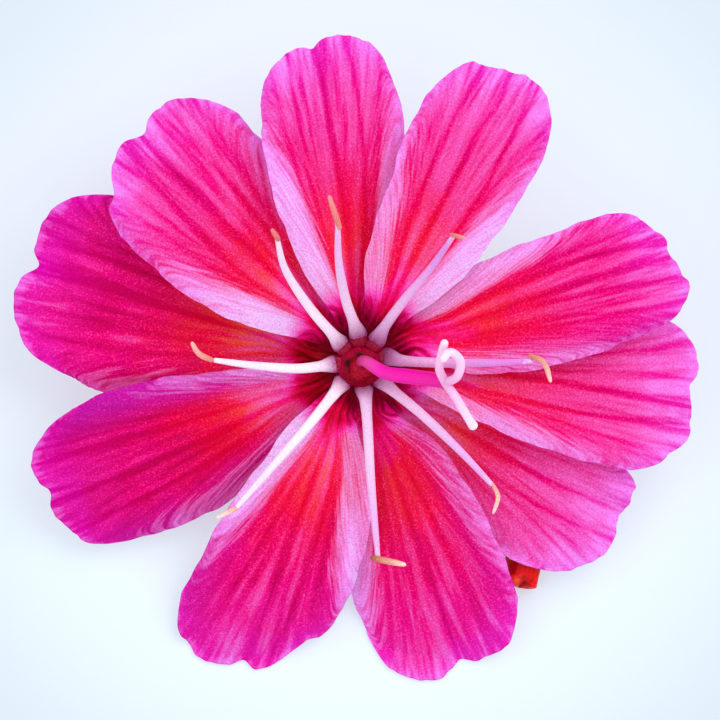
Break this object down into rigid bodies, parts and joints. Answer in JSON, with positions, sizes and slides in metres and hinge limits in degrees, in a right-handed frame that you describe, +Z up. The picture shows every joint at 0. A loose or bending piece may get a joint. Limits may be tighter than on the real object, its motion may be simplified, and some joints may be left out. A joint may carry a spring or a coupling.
{
  "type": "lewisia flower",
  "caption": "Open lewisia flower laid face up: notched, overlapping petals round slim stamens and a forked pistil, with a curled cut stem beneath.",
  "frame": {"origin": "centre of the flower's footprint, on the surface it rests on", "axes": "+Z up, out of the flower's face; the face leans towards -Y, where two petals' tips touch the surface"},
  "size_m": [0.0362, 0.0342, 0.0135],
  "materials": {
    "petal": "soft satin petal, magenta with deeper veins and a red base",
    "filament": "smooth and waxy, pale lilac",
    "anther": "dry and matte, tan",
    "ovary": "satin, dark red",
    "style": "satin, bright magenta",
    "stigma": "soft and velvety, pale pink",
    "sepal": "satin, reddish",
    "stem": "smooth and fleshy, red"
  },
  "bodies": {
    "root": {"petal_01": "petal", "petal_02": "petal", "petal_03": "petal", "petal_04": "petal", "petal_05": "petal", "petal_06": "petal", "petal_07": "petal", "petal_08": "petal", "petal_09": "petal", "petal_10": "petal", "sepal_1": "sepal", "sepal_2": "sepal", "filament_1": "filament", "filament_2": "filament", "filament_3": "filament", "filament_4": "filament", "filament_5": "filament", "filament_6": "filament", "filament_7": "filament", "filament_8": "filament", "anther_1": "anther", "anther_2": "anther", "anther_3": "anther", "anther_4": "anther", "anther_5": "anther", "anther_6": "anther", "anther_7": "anther", "anther_8": "anther", "ovary": "ovary", "style": "style", "stigma": "stigma", "stem": "stem"}
  },
  "joints": []
}
